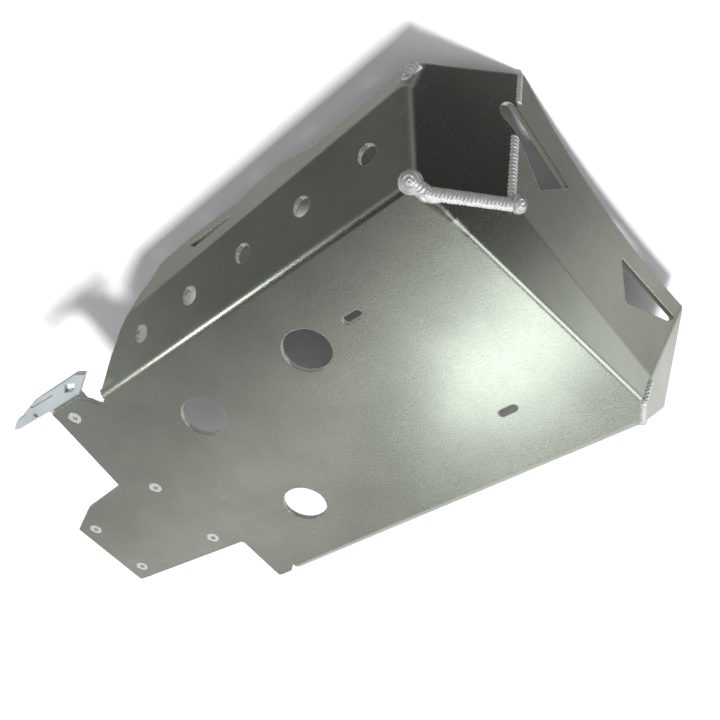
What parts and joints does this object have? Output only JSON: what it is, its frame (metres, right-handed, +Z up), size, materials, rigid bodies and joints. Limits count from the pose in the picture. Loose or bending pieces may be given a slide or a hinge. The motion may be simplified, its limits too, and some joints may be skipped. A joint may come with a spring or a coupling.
{
  "type": "motorcycle skid plate",
  "caption": "Folded and welded aluminium skid plate with flared side walls, welded nose corners, drain openings and a rear mounting tongue.",
  "frame": {"origin": "outer face of the floor, on the centre line, level with the front drain opening", "axes": "+X forward to the nose, +Y to the left of the machine, +Z up out of the bowl"},
  "size_m": [0.5729, 0.3423, 0.1216],
  "materials": {
    "sheet": "satin, fine cross grain",
    "weld": "bright, rippled",
    "screw": "plain",
    "nut": "plain",
    "bracket": "bright satin"
  },
  "bodies": {
    "root": {"skid_plate": "sheet", "weld_beads": "weld", "rear_screws": "screw", "rear_nuts": "nut", "rear_bracket": "bracket"}
  },
  "joints": []
}
